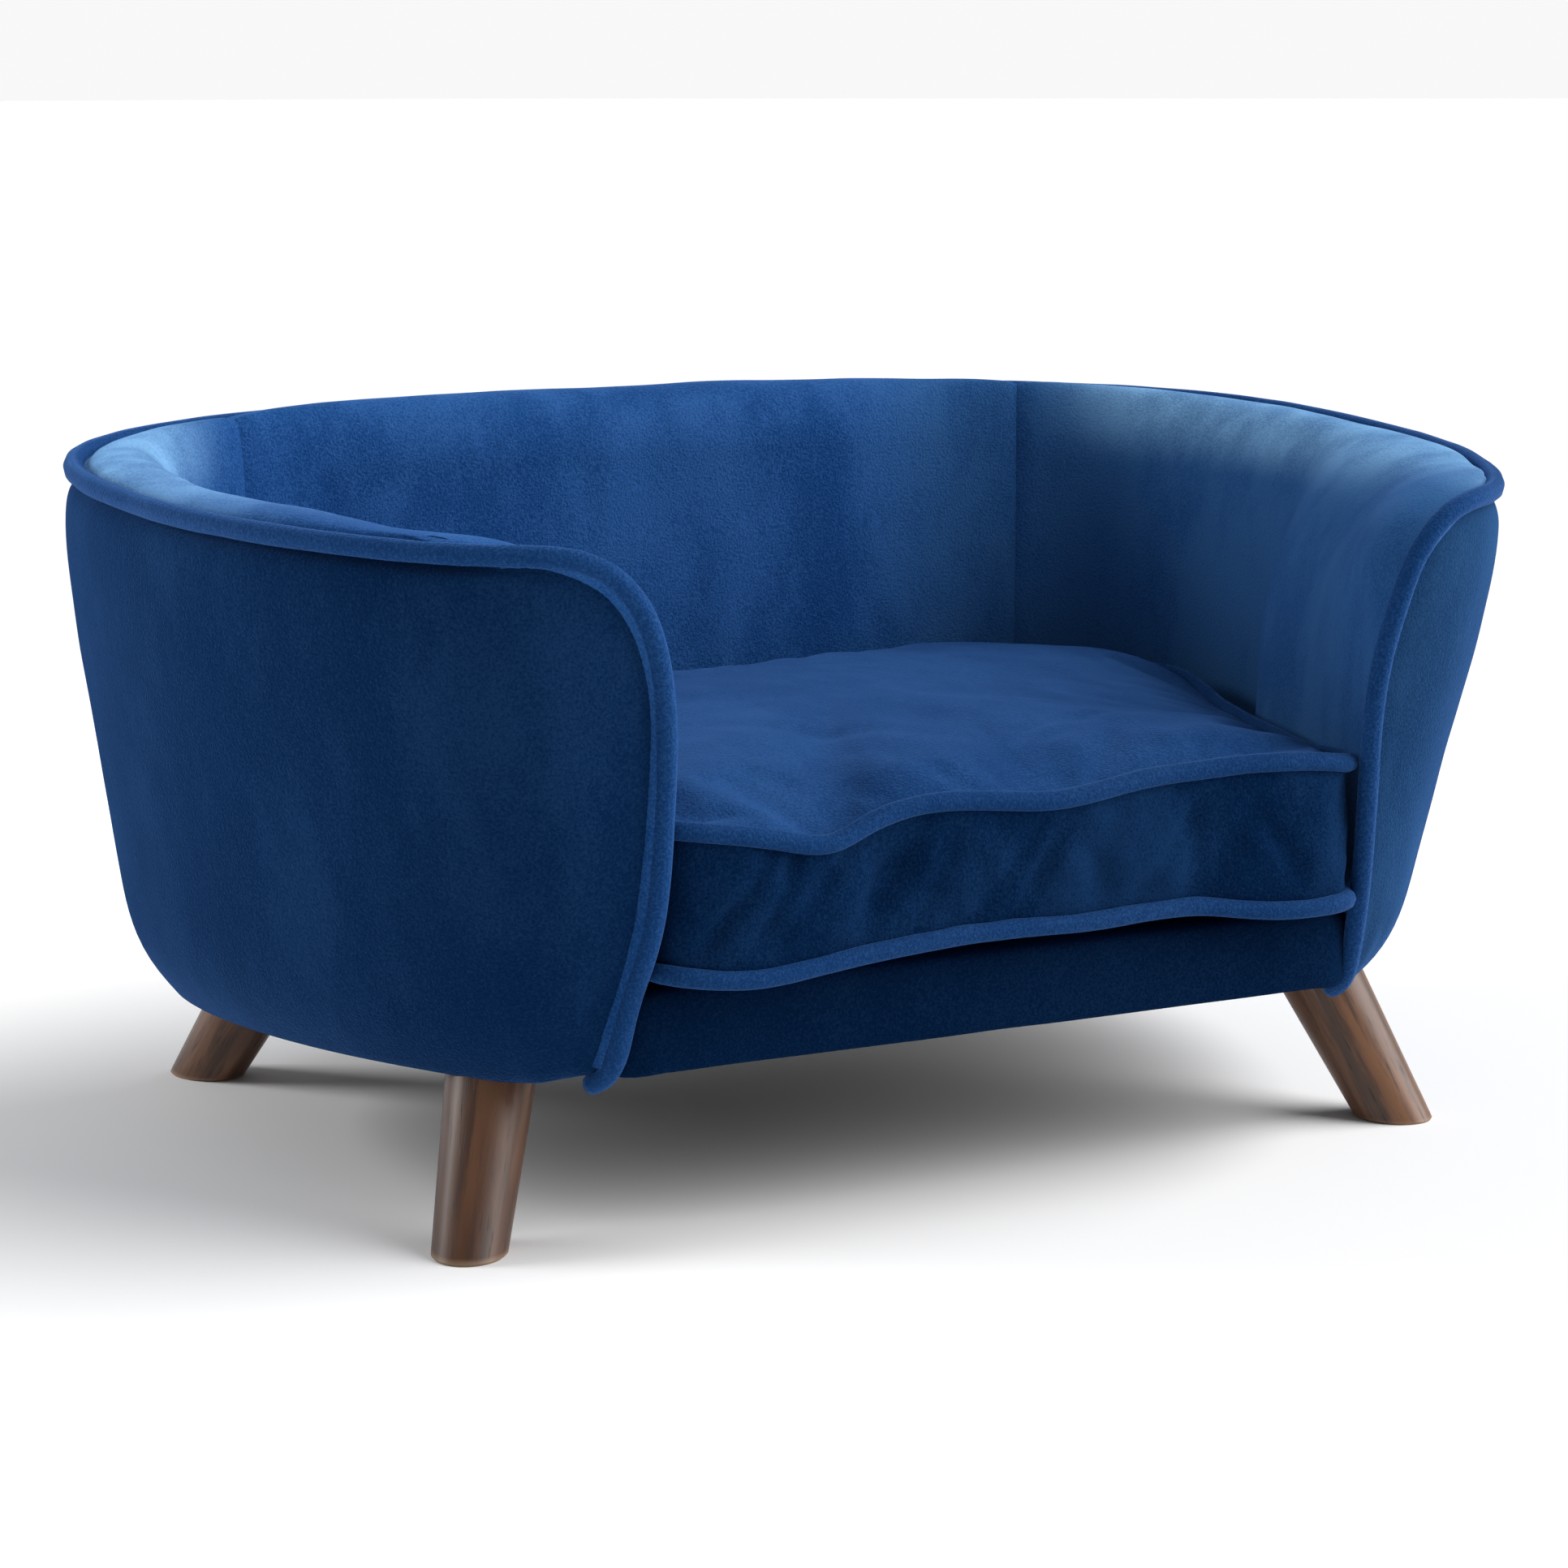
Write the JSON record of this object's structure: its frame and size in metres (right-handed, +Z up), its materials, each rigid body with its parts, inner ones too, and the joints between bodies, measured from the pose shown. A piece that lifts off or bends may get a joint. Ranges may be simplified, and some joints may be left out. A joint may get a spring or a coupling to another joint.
{
  "type": "dog bed with frame",
  "caption": "Sofa-style pet bed: an oval velvet tub, open in front, on splayed turned wood legs, with a loose boxed seat cushion and piped edges.",
  "frame": {"origin": "on the floor, under the middle of the bed's overall width and depth", "axes": "+X to the right seen from the open front, +Y towards the back, +Z up; the open front faces -Y"},
  "size_m": [0.751, 0.5056, 0.3663],
  "materials": {
    "velvet": "blue velvet upholstery with a soft nap",
    "leg_wood": "walnut-stained hardwood, satin lacquer",
    "plywood": "raw birch plywood",
    "frame_wood": "raw sawn pine",
    "fibreboard": "raw hardboard",
    "foam": "open-cell polyurethane foam",
    "wadding": "white polyester wadding",
    "zinc_steel": "zinc-plated steel",
    "dust_cloth": "black non-woven cloth",
    "deck_cloth": "plain blue platform cloth",
    "zip_nylon": "moulded nylon coil",
    "zip_tape": "woven zip tape",
    "zip_metal": "painted zinc slider"
  },
  "bodies": {
    "frame": {"arm_post_left": "frame_wood", "arm_post_right": "frame_wood", "back_foam": "foam", "back_leg_left": "leg_wood", "back_leg_right": "leg_wood", "back_post_left": "frame_wood", "back_post_right": "frame_wood", "base_panel": "plywood", "deck_cloth": "deck_cloth", "deck_foam": "foam", "dust_cover": "dust_cloth", "front_leg_left": "leg_wood", "front_leg_right": "leg_wood", "front_rail": "frame_wood", "front_rail_cover": "velvet", "front_rail_foam": "foam", "inner_back_cover": "velvet", "inner_left_cover": "velvet", "inner_right_cover": "velvet", "left_foam": "foam", "leg_bolts": "zinc_steel", "lining_board": "fibreboard", "outer_board": "fibreboard", "outer_cover": "velvet", "outer_padding": "wadding", "post_screws": "zinc_steel", "rail_screws": "zinc_steel", "right_foam": "foam", "rim_piping": "velvet", "rim_roll": "foam", "side_post_left": "frame_wood", "side_post_right": "frame_wood", "tee_nuts": "zinc_steel", "top_rib": "plywood"},
    "cushion": {"cushion_bottom_panel": "velvet", "cushion_bottom_piping": "velvet", "cushion_boxing": "velvet", "cushion_core": "foam", "cushion_top_panel": "velvet", "cushion_top_piping": "velvet", "zip_boxing": "velvet", "zip_tape": "zip_tape", "zip_teeth": "zip_nylon"},
    "slider": {"zip_slider": "zip_metal"},
    "pull": {"zip_pull": "zip_metal"}
  },
  "joints": [
    {"name": "cushion_lift", "type": "slide", "parent": "frame", "child": "cushion", "axis": [0, 0, 1], "range_m": [0, 0.24]},
    {"name": "zip_run", "type": "slide", "parent": "cushion", "child": "slider", "axis": [-1, 0, 0], "range_m": [0, 0.28]},
    {"name": "pull_swing", "type": "hinge", "parent": "slider", "child": "pull", "pos_m": [0.14, 0.1798, 0.171], "axis": [0, 0, 1], "range_deg": [0, 20]}
  ]
}
